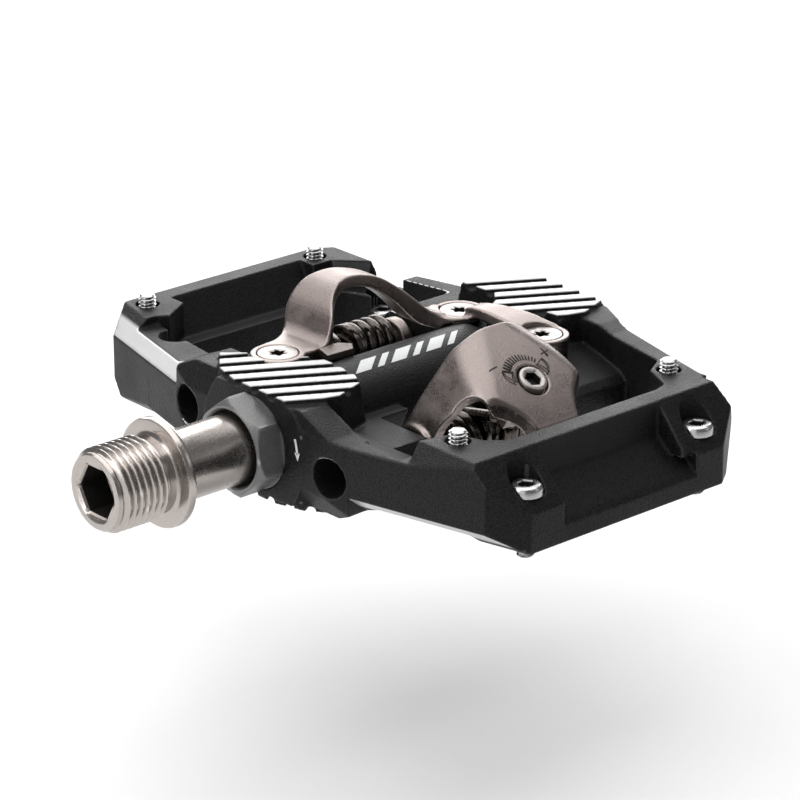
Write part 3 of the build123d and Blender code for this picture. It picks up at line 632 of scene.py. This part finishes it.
# The wings' outline from the side, in (y, z).
WING_OUTLINE = [(-21.6, 22), (-21.6, 17.1), (-20.5, 16.2), (-19.3, 15.0), (-19.0, 13.9), (-18.3, 10.9),
                (-16.6, 5.5), (-14.4, 0.4), (-14.4, -1.6), (-21.9, -1.6), (-22.5, 3.5), (-30.3, 11.8),
                (-30.3, 22)]
# Half of the tongue's outline from above, in (x, y), and where the tongue ends below.
TONGUE_HALF = [(6.3, -21.0), (6.3, -22.5), (11.4, -30.3), (10.7, -31.0), (8.9, -32.0), (6.8, -33.6),
               (5.5, -35.2), (4.9, -36.5), (4.7, -39.0)]
TONGUE_LOW_Z = 3.4


def plate_facets():
    """(point, outward normal, blend radius) of the plate's sloping, bent and front faces."""
    slope, bend = math.radians(PLATE_SLOPE), math.radians(BEND_SLOPE)
    return [((0, SCREW_Y, SCREW_Z), (0, -math.sin(slope), math.cos(slope)), 0.1),
            (BEND_POINT, (0, -math.sin(bend), math.cos(bend)), 2.5),
            ((0, JAW_FRONT_Y, 0), (0, -1, 0), 1.0)]


def wing_facets():
    """(point, outward normal, blend radius) of the flat faces of both wings."""
    facets = []
    for side in (1, -1):
        front, tip, heel, toe = [np.array((side * x, y, z)) for x, y, z in WING_CORNERS]
        for a, b, c in ((front, tip, toe), (tip, heel, toe)):
            facets.append((a, np.cross(b - a, c - a) * side, 3.2))
        facets.append(((side * JAW_HALF_WIDTH, 0, 0), (side, 0, 0), 2.0))
    return facets


def within_facets(x, y, z, facets, skin=None):
    """The field of a solid that lies behind every face, blended from face to face."""
    for point, normal, radius in facets:
        normal = np.asarray(normal, float) / np.linalg.norm(normal)
        face = (x - point[0]) * normal[0] + (y - point[1]) * normal[1] + (z - point[2]) * normal[2]
        skin = face if skin is None else smooth_max(skin, face, radius)
    return skin


def arch_crown(x, y, z, side):
    """The field of the round bar that shapes the top of the arch between tongue and wing."""
    axis = (side * ARCH_CROWN_AXIS[0], *ARCH_CROWN_AXIS[1:])
    off = (x - side * ARCH_CROWN[0], y - ARCH_CROWN[1], z - ARCH_CROWN[2])
    along = axis[0] * off[0] + axis[1] * off[1] + axis[2] * off[2]
    from_axis = np.maximum(off[0] ** 2 + off[1] ** 2 + off[2] ** 2 - along ** 2, 0)
    return np.sqrt(from_axis) - ARCH_CROWN_R


def binding_shape():
    """The sprung jaw: a bent plate with a tongue, an arch on each side and two hinged wings."""
    x, y, z = sample_grid(*JAW_BOX, FIELD_STEP)
    plate_skin = within_facets(x, y, z, plate_facets())
    skin = within_facets(x, y, z, wing_facets(), plate_skin)
    shell = smooth_max(skin, -(skin + BINDING_T), 0.5)
    wings = outline_field(y, z, rounded(WING_OUTLINE))
    tongue = outline_field(x, y, rounded(TONGUE_HALF + [(-a, b) for a, b in reversed(TONGUE_HALF)]))
    tongue = np.maximum(tongue, TONGUE_LOW_Z - z)
    tongue = np.maximum(tongue, -(plate_skin + BINDING_T))
    jaw = smooth_max(shell, smooth_min(wings, tongue, 2.4), 0.6)
    for side in (1, -1):
        jaw = smooth_max(jaw, -arch_crown(x, y, z, side), 0.4)
        across = np.abs(x - side * EYE_X) - EYE_HALF_T
        eye = smooth_max(rod_field(y, z, (PIVOT_Y, PIVOT_Z), EYE_R), across, 0.6)
        jaw = smooth_min(jaw, eye, 1.0)
    slope = math.radians(PLATE_SLOPE)
    out = (y - SCREW_Y) * -math.sin(slope) + (z - SCREW_Z) * math.cos(slope)
    along = (y - SCREW_Y) * math.cos(slope) + (z - SCREW_Z) * math.sin(slope)
    seat = np.maximum(rod_field(x, along, (0, 0), SCREW_SEAT_R), -(out + SCREW_SEAT_DEPTH))
    hole = np.maximum(rod_field(x, along, (0, 0), SCREW_HOLE_R), -(out + SCREW_HOLE_DEPTH))
    pivot = rod_field(y, z, (PIVOT_Y, PIVOT_Z), PIVOT_BORE_R)
    jaw = smooth_max(jaw, -np.minimum(seat, hole), 0.25)
    jaw = smooth_max(jaw, -pivot, 0.25)
    points, faces = field_shape(jaw, JAW_BOX[0], FIELD_STEP)
    return points + (BINDING_X, 0, 0), faces


def plate_point(u, v, lift=0.0):
    """A point on the jaw's outer plate, measured from the tension screw."""
    slope = math.radians(PLATE_SLOPE)
    return (BINDING_X + u,
            SCREW_Y + v * math.cos(slope) - lift * math.sin(slope),
            SCREW_Z + v * math.sin(slope) + lift * math.cos(slope))


def stroke(points, width=0.17, raised=0.012):
    """A thin engraved line through (u, v) points on the jaw's plate."""
    points = np.asarray(points, float)
    along = np.gradient(points, axis=0)
    along /= np.linalg.norm(along, axis=1)[:, None]
    side = np.column_stack([-along[:, 1], along[:, 0]]) * width / 2
    corners = []
    for lift in (raised, -0.1):
        for edge in (points + side, points - side):
            corners.extend(plate_point(u, v, lift) for u, v in edge)
    n, faces = len(points), []
    for i in range(n - 1):
        for a, b in ((0, n), (n, 3 * n), (3 * n, 2 * n), (2 * n, 0)):
            faces.append((a + i, a + i + 1, b + i + 1, b + i))
    faces += [(0, n, 3 * n, 2 * n), (n - 1, 3 * n - 1, 4 * n - 1, 2 * n - 1)]
    return np.array(corners), faces


def bowed(start, end, bulge, count=9):
    """A line from start to end that bows sideways (along u) at its middle."""
    share = np.linspace(0, 1, count)[:, None]
    line = np.array(start) * (1 - share) + np.array(end) * share
    return line + np.hstack([4 * share * (1 - share) * bulge, 0 * share])


def scale_shape():
    """The engraved tension scale: tick marks, two wedges, a minus and a plus."""
    lines = []
    for i in range(13):
        share = i / 12
        angle = math.radians(48 + 89 * share)
        inner, outer = 3.85, 4.5 + 0.9 * math.sin(share * math.pi / 2)
        lines.append([(inner * math.cos(angle), inner * math.sin(angle)),
                      (outer * math.cos(angle), outer * math.sin(angle))])
    lines.append([(-6.7, 3.85), (-4.9, 4.15)])
    lines.append([(4.7, 3.85), (6.5, 4.15)])
    lines.append([(5.45, 4.9), (5.75, 3.1)])
    left_wedge = ((-4.5, 3.06), (-2.76, 2.2), (-3.44, 0.11), -1)
    right_wedge = ((4.16, 3.01), (2.56, 2.27), (3.59, 0.1), 1)
    for outer, inner, tip, bulge in (left_wedge, right_wedge):
        lines += [[outer, inner], bowed(outer, tip, 0.55 * bulge), bowed(inner, tip, 0.3 * bulge)]
    return joined([stroke(line) for line in lines])


# ---- claw ----
CLAW_TOP_Z = CLAW_SEAT_Z + CLAW_T
CLAW_BOX = ((28.5, -18.5, 5.5), (81.0, 23.5, 18.5))
# The arch's section seen along the pedal, in (x, z), and its outline from above, in (x, y).
ARCH_SECTION = [
    (41.5, 5.0), (41.5, CLAW_SEAT_Z), (43.0, CLAW_TOP_Z), (45.6, 13.6), (49.2, 16.4), (54.0, 17.3),
    (58.8, 16.4), (62.8, 13.2), (66.4, CLAW_TOP_Z), (71.5, CLAW_TOP_Z), (71.5, CLAW_SEAT_Z),
    (64.6, CLAW_SEAT_Z), (61.0, 11.6), (57.6, 14.4), (54.0, 15.1), (50.4, 14.4), (47.4, 12.2),
    (45.0, 8.0), (44.4, 5.0)]
ARCH_PLAN = [
    (40.5, 8.0), (42.3, 18.0), (44.5, 20.8), (47.7, 21.2), (52.5, 20.4), (57.0, 18.6), (62.5, 14.8),
    (70.5, 9.0), (68.0, 5.0), (61.5, 10.8), (56.5, 13.6), (52.0, 14.2), (48.0, 12.0), (44.6, 8.0)]
# The flat that joins the inboard ear to the arch, from above, in (x, y).
EAR_PLAN = [(34.7, 15.2), (39.0, 16.0), (44.0, 19.6), (44.4, 8.0), (38.0, 7.2)]
# The saddle's section seen along the axle, in (y, z), and its outline from above, in (x, y).
SADDLE_SECTION = [
    (-11, CLAW_SEAT_Z), (-11, CLAW_TOP_Z), (-7, 10.2), (0, 11.2), (4, 10.4), (8, CLAW_TOP_Z),
    (8, CLAW_SEAT_Z), (6.4, 7.1), (3.4, 8.6), (0, 9.1), (-4.2, 8.2), (-8.4, CLAW_SEAT_Z)]
SADDLE_PLAN = [
    (69.4, 6.0), (73.4, 7.0), (73.4, 2.0), (77.5, -6.0), (78.4, -12.0), (72.6, -14.0), (70.4, -2.0)]


def claw_shape(centres):
    """The fixed claw: one bent plate with an arch, a saddle over the tube and three screwed ears."""
    x, y, z = sample_grid(*CLAW_BOX, FIELD_STEP)
    section = outline_field(x, z, rounded(ARCH_SECTION, 3))
    arch = smooth_max(section, outline_field(x, y, rounded(ARCH_PLAN)), 0.45)
    ears = outline_field(x, y, rounded(EAR_PLAN))
    for cx, cy in centres:
        ears = smooth_min(ears, rod_field(x, y, (cx, cy), CLAW_EAR_R), 1.2)
    flat = np.abs(z - (CLAW_SEAT_Z + CLAW_TOP_Z) / 2) - CLAW_T / 2
    ears = smooth_max(ears, flat, 0.4)
    section = outline_field(y, z, rounded(SADDLE_SECTION))
    saddle = smooth_max(section, outline_field(x, y, rounded(SADDLE_PLAN, 1)), 0.4)
    plate = smooth_min(smooth_min(arch, ears, 1.4), saddle, 1.2)
    plate = smooth_max(plate, CLAW_SEAT_Z - z, 0.3)
    plate = np.maximum(plate, TUBE_R + 0.3 - np.hypot(y, z))
    for cx, cy in centres:
        hole = rod_field(x, y, (cx, cy), CLAW_SCREW_R + 0.1)
        recess = rod_field(x, y, (cx, cy), CLAW_SCREW_HEAD_R + 0.1)
        recess = np.maximum(recess, CLAW_TOP_Z - CLAW_SCREW_HEAD_H - z)
        plate = smooth_max(plate, -np.minimum(hole, recess), 0.2)
    return field_shape(plate, CLAW_BOX[0], FIELD_STEP)


def claw_screw_shape(base, top):
    """A flat-headed screw with a star socket, from its tip up."""
    seat, rim = top - CLAW_SCREW_HEAD_H, CLAW_SCREW_HEAD_R
    return turned([
        (base, 0), (base, CLAW_SCREW_R - 0.4), (base + 0.4, CLAW_SCREW_R), (seat, CLAW_SCREW_R),
        (seat, rim), (top - 0.28, rim), (top - 0.08, rim - 0.1), (top, rim - 0.32),
        (top, star(1.3, 1.75)), (top - 0.16, star(1.0, 1.5)), (top - 1.0, star(0.98, 1.45)),
        (top - 1.2, 0)])


# ---- small pieces ----
def tension_screw_shape():
    """The tension screw with its crowned head and hexagon socket."""
    stations = [(-11.35, 0), (-11.35, 1.2), (-11.1, 1.5)]
    stations += threaded(-11.0, -1.9, 1.5, 0.5, 0.2, 0.5, 0.5, 8)
    stations += [(-1.75, 1.5), (-1.75, 2.4), (-1.6, 2.52), (-0.45, 2.52), (-0.15, 2.42), (0.0, 2.1),
                 (0.0, 1.85), (-0.12, hexagon(2.9, 1.68)), (-0.3, hexagon(TENSION_HEX_FLATS)),
                 (-1.55, hexagon(TENSION_HEX_FLATS)), (-1.7, 0)]
    return turned(stations)


def pin_shape(length):
    """A threaded traction pin, from its socket face to its rounded tip."""
    stations = [(1.2, 0), (1.0, hexagon(PIN_HEX_FLATS)), (0.25, hexagon(PIN_HEX_FLATS)),
                (0.0, hexagon(2.75, 1.62)), (0.0, 1.95), (0.08, 2.3), (0.3, 2.56), (0.7, 2.72),
                (PIN_HEAD_H - 0.3, PIN_HEAD_R), (PIN_HEAD_H, PIN_HEAD_R - 0.25),
                (PIN_HEAD_H, PIN_R - 0.2)]
    stations += threaded(PIN_HEAD_H + 0.1, length - 0.3, PIN_R, PIN_PITCH, 0.4, 0.3, 0.12, 10)
    stations += [(length - 0.28, PIN_R - 0.18), (length - 0.08, PIN_R - 0.42), (length, PIN_R - 0.62),
                 (length, 0)]
    return turned(stations, PIN_SEGMENTS)


def spring_shape(side):
    """A torsion spring: 3.6 turns round the hinge pin, an end ring and a leg towards the nut."""
    centre = np.array((PIVOT_Y, PIVOT_Z - SPRING_DROP))
    leg_end = np.array(SPRING_LEG_END)
    leave = math.atan2(leg_end[1], leg_end[0]) - math.acos(SPRING_R / np.linalg.norm(leg_end))
    path = []
    for share in np.linspace(0, 1, 170):
        angle = leave - 2 * math.pi * SPRING_TURNS * (1 - share)
        x = SPRING_FIRST_X - SPRING_PITCH * SPRING_TURNS * share
        path.append((x, *(centre + SPRING_R * np.array((math.cos(angle), math.sin(angle))))))
    end_x = path[-1][0]
    start = np.array(path[-1][1:])
    for share in np.linspace(0.08, 1, 12):
        path.append((end_x, *(start + (centre + leg_end - start) * share)))
    wire = tube(np.array(path) * (side, 1, 1), SPRING_WIRE_R)
    rim, bore = SPRING_R + SPRING_WIRE_R, SPRING_R - SPRING_WIRE_R - 0.35
    ring = turned([(0, bore + 0.2), (0.1, bore), (1.3, bore), (1.3, rim), (0.2, rim), (0, rim - 0.25),
                   (0, bore + 0.2)])
    ring = placed(ring, ((end_x - SPRING_WIRE_R - 0.1) * side, *centre), (side, 0, 0))
    points, faces = joined([wire, ring])
    return points + (BINDING_X, 0, 0), faces


# ---- each side of the pedal ----
screw_centres = [((low[0] + high[0]) / 2, (low[1] + high[1]) / 2, low[2], high[2])
                 for low, high in islands("top_claw_screws")]
tension_axis = -Vector(joints["top_tension_turn"]["axis"])
tension_point = np.array(joints["top_tension_turn"]["pos_m"]) / MM
claw = claw_shape([centre[:2] for centre in screw_centres])
jaw = binding_shape()
for over, side in ((False, "top"), (True, "bottom")):
    make_piece(f"{side}_claw_plate", claw, "pedal_unit", FINISH["jaw_steel"],
               [f"{side}_claw"], over, 60)
    screws = joined([placed(claw_screw_shape(base, top), (cx, cy, 0), (0, 0, 1), CLAW_SCREW_TURN * i)
                     for i, (cx, cy, base, top) in enumerate(screw_centres)])
    make_piece(f"{side}_claw_star_screws", screws, "pedal_unit", FINISH["screws"],
               [f"{side}_claw_screws"], over, 30)
    make_piece(f"{side}_jaw_plate", jaw, f"{side}_jaw", FINISH["jaw_steel"],
               [f"{side}_binding"], over, 60)
    make_piece(f"{side}_tension_scale", scale_shape(), f"{side}_jaw", ENGRAVED, [], over)
    # Dark cups inside the claw screws' star sockets and the adjuster's hex socket: painted shade.
    shade_linings = []
    for i, (cx, cy, base, top) in enumerate(screw_centres):
        shade_lining = shade_cup(star(0.97, 1.46), top - 0.2, top - 1.0)
        shade_linings.append(placed(shade_lining, (cx, cy, 0), (0, 0, 1), CLAW_SCREW_TURN * i))
    make_piece(f"{side}_claw_star_socket_shade", joined(shade_linings), "pedal_unit", SOCKET_SHADE,
               [], over, 30)
    screw = placed(tension_screw_shape(), tension_point, tension_axis, TENSION_HEX_TURN)
    shade_lining = shade_cup(hexagon(TENSION_HEX_FLATS - SHADE_CUP_T), -0.35, -1.5)
    shade_lining = placed(shade_lining, tension_point, tension_axis, TENSION_HEX_TURN)
    make_piece(f"{side}_adjuster_socket_shade", shade_lining, f"{side}_adjuster", SOCKET_SHADE,
               [], over, 30)
    make_piece(f"{side}_adjuster_screw", screw, f"{side}_adjuster", FINISH["screws"],
               [f"{side}_tension_screw"], over, 30)
    for name, sign in (("inboard", -1), ("outboard", 1)):
        make_piece(f"{side}_wire_{name}", spring_shape(sign), f"{side}_jaw",
                   FINISH["springs"], [f"{side}_spring_{name}"], over, 60)
    softened(f"{side}_shoe_plate", f"{side}_spring_shoe", "pedal_unit",
             FINISH["spring_shoe"], 0.1, 4)
    softened(f"{side}_nut_plate", f"{side}_tension_nut", f"{side}_spring_plate",
             FINISH["spring_shoe"], 0.1, 4)

for node in ("rear_top_pins", "rear_bottom_pins", "front_bottom_pins", "front_top_pins"):
    up = 1 if "top" in node else -1
    pins, shade_linings = [], []
    for low, high in islands(node):
        head = ((low[0] + high[0]) / 2, (low[1] + high[1]) / 2, low[2] if up > 0 else high[2])
        # Dark cups inside the studs' hex sockets: painted shade.
        shade_lining = shade_cup(hexagon(PIN_HEX_FLATS - SHADE_CUP_T), 0.28, 0.98, PIN_SEGMENTS)
        pins.append(placed(pin_shape(high[2] - low[2]), head, (0, 0, up), PIN_HEX_TURN))
        shade_linings.append(placed(shade_lining, head, (0, 0, up), PIN_HEX_TURN))
    make_piece(node.replace("pins", "studs"), joined(pins), "pedal_unit", FINISH["pins"],
               [node], sharp=30)
    make_piece(node.replace("pins", "stud_socket_shade"), joined(shade_linings), "pedal_unit", SOCKET_SHADE,
               sharp=30)


# ---- printed marks ----
def tube_mark(corners, lift=0.03):
    """A printed patch wrapped on the hub tube, from four (x, angle in degrees) corners."""
    (x0, a0), (x1, a1), (x2, a2), (x3, a3) = corners
    count, outer, inner, faces = 10, [], [], []
    for i in range(count + 1):
        for j in range(count + 1):
            s, t = i / count, j / count
            x = (x0 * (1 - s) + x1 * s) * (1 - t) + (x3 * (1 - s) + x2 * s) * t
            a = math.radians((a0 * (1 - s) + a1 * s) * (1 - t) + (a3 * (1 - s) + a2 * s) * t)
            for layer, r in ((outer, TUBE_R + lift), (inner, TUBE_R - lift)):
                layer.append((x, r * math.cos(a), r * math.sin(a)))
    for i in range(count):
        for j in range(count):
            k = i * (count + 1) + j
            faces.append((k, k + 1, k + count + 2, k + count + 1))
    return closed_sheet(outer, inner, faces)


def side_arrow(x=20.46):
    """A turning arrow printed on the hub's crank-side face: a curved bar and a pointed head."""
    def at(radius, degrees):
        return x, radius * math.cos(math.radians(degrees)), radius * math.sin(math.radians(degrees))
    points = []
    for degrees in np.linspace(161, 174, 7):
        points += [at(11.0, degrees), at(11.5, degrees)]
    faces = [(2 * i, 2 * i + 2, 2 * i + 3, 2 * i + 1) for i in range(6)]
    faces.append((len(points), len(points) + 1, len(points) + 2))
    outer = np.array(points + [at(10.6, 173), at(11.9, 173), at(11.3, 180)])
    return closed_sheet(outer, outer + (0.08, 0, 0), faces)


marks = []
for start, width in ((39.8, 3.4), (44.6, 1.5), (47.6, 3.4), (52.4, 1.5), (55.4, 3.4), (60.2, 1.5)):
    end = start + width
    corners = [(start, 113), (end, 113), (end + STRIPE_SLANT, 93), (start + STRIPE_SLANT, 93)]
    marks.append(tube_mark(corners))
for over, side in ((False, "top"), (True, "bottom")):
    make_piece(f"{side}_hub_stripes", joined(marks), "pedal_unit", PRINT_WHITE, [], over)
make_piece("hub_arrow", side_arrow(), "pedal_unit", PRINT_WHITE)

# ---- CAD nodes that are shown as packed ----
for part in frame["record"]["subparts"]:
    node = nodes[part["node"]]
    if not node.hide_render:
        node.data.materials.clear()
        node.data.materials.append(FINISH[part["material_slot"]])
        node.data.shade_smooth()
        node.data.set_sharp_from_angle(angle=math.radians(30))

# ---- floor, lights and camera ----
# The floor lies just under the circle that the body sweeps as it spins on the axle.
FLOOR_GAP = 0.5
sweep = max(math.hypot(corner[1], corner[2]) for corner in cad_box)
floor_mesh = bpy.data.meshes.new("floor")
floor_mesh.from_pydata([(-3, -3, 0), (3, -3, 0), (3, 3, 0), (-3, 3, 0)], [], [(0, 1, 2, 3)])
floor = bpy.data.objects.new("floor", floor_mesh)
floor.location.z = -sweep - FLOOR_GAP * MM
bpy.context.scene.collection.objects.link(floor)
floor_mesh.materials.append(new_finish("pale_floor", (0.80, 0.80, 0.80), 0.0, 0.7, grain_mm=2.0,
                                       grain=0.005, blotch_mm=60, blotch=0.01, bump_mm=0.0))

TARGET = Vector((52.5, 0, -1.1)) * MM
world = bpy.data.worlds.new("studio")
world.use_nodes = True
world.node_tree.nodes["Background"].inputs["Color"].default_value = (1, 1, 1, 1)
world.node_tree.nodes["Background"].inputs["Strength"].default_value = 0.2
bpy.context.scene.world = world


def softbox(name, place, size, power):
    """A white panel light at a place measured from the target and facing it, in metres and watts."""
    light = bpy.data.lights.new(name, "AREA")
    light.shape = "RECTANGLE"
    light.size, light.size_y = size
    light.energy = power
    lamp = bpy.data.objects.new(name, light)
    lamp.location = TARGET + Vector(place)
    lamp.rotation_mode = "QUATERNION"
    lamp.rotation_quaternion = Vector(place).to_track_quat("Z", "Y")
    bpy.context.scene.collection.objects.link(lamp)


softbox("overhead", (0.0, 0.2, 0.8), (1.5, 1.2), 11.5)
softbox("left_strip", (-0.75, 0.15, 0.32), (0.25, 0.8), 2.4)
softbox("back_card", (0.60, 0.68, 0.36), (1.0, 0.45), 6.0)
softbox("front_card", (-0.85, -0.30, 0.30), (0.7, 0.7), 1.3)
softbox("right_fill", (0.55, -0.65, 0.45), (0.35, 0.35), 0.3)

camera_data = bpy.data.cameras.new("camera")
camera_data.lens = 161.3
camera_data.sensor_width = 36
camera_data.clip_start = 0.05
camera_data.clip_end = 20
camera = bpy.data.objects.new("camera", camera_data)
azimuth, elevation, distance = math.radians(-41.5), math.radians(21.6), 0.606
back = Vector((math.sin(azimuth) * math.cos(elevation), -math.cos(azimuth) * math.cos(elevation),
               math.sin(elevation)))
camera.location = TARGET + back * distance
camera.rotation_mode = "QUATERNION"
camera.rotation_quaternion = back.to_track_quat("Z", "Y")
bpy.context.scene.collection.objects.link(camera)
bpy.context.scene.camera = camera
bpy.context.scene.view_settings.view_transform = "Standard"
